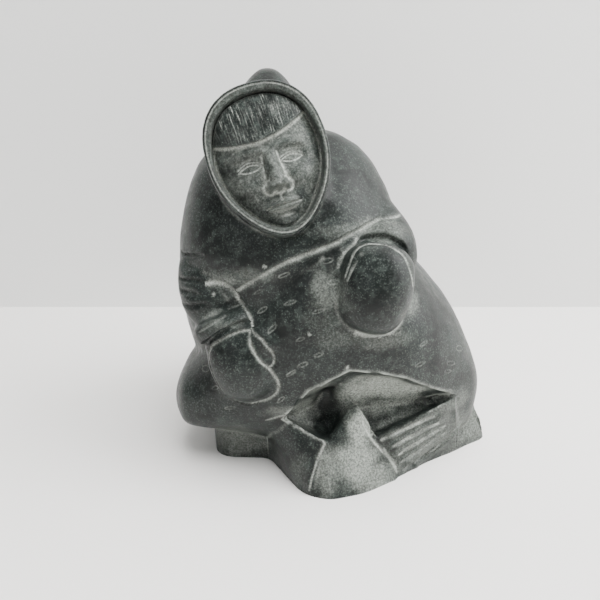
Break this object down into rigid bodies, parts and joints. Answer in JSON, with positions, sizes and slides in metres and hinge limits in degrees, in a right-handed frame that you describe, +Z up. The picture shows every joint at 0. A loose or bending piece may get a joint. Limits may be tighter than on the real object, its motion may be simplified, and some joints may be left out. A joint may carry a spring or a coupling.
{
  "type": "soapstone hunter sculpture",
  "caption": "Carved stone figure of a seated hunter in a hooded parka with mittens, holding a spotted seal across the lap, with its hind flippers spread at the front of the base.",
  "frame": {"origin": "on the ground under the middle of the bounding box", "axes": "+Z up, the figure's front towards -Y, +X to the viewer's right"},
  "size_m": [0.1498, 0.1102, 0.171],
  "materials": {
    "stone": "hand polished dark grey-green soapstone with pale dust in the carved lines"
  },
  "bodies": {
    "root": {"hunter_carving": "stone"}
  },
  "joints": []
}
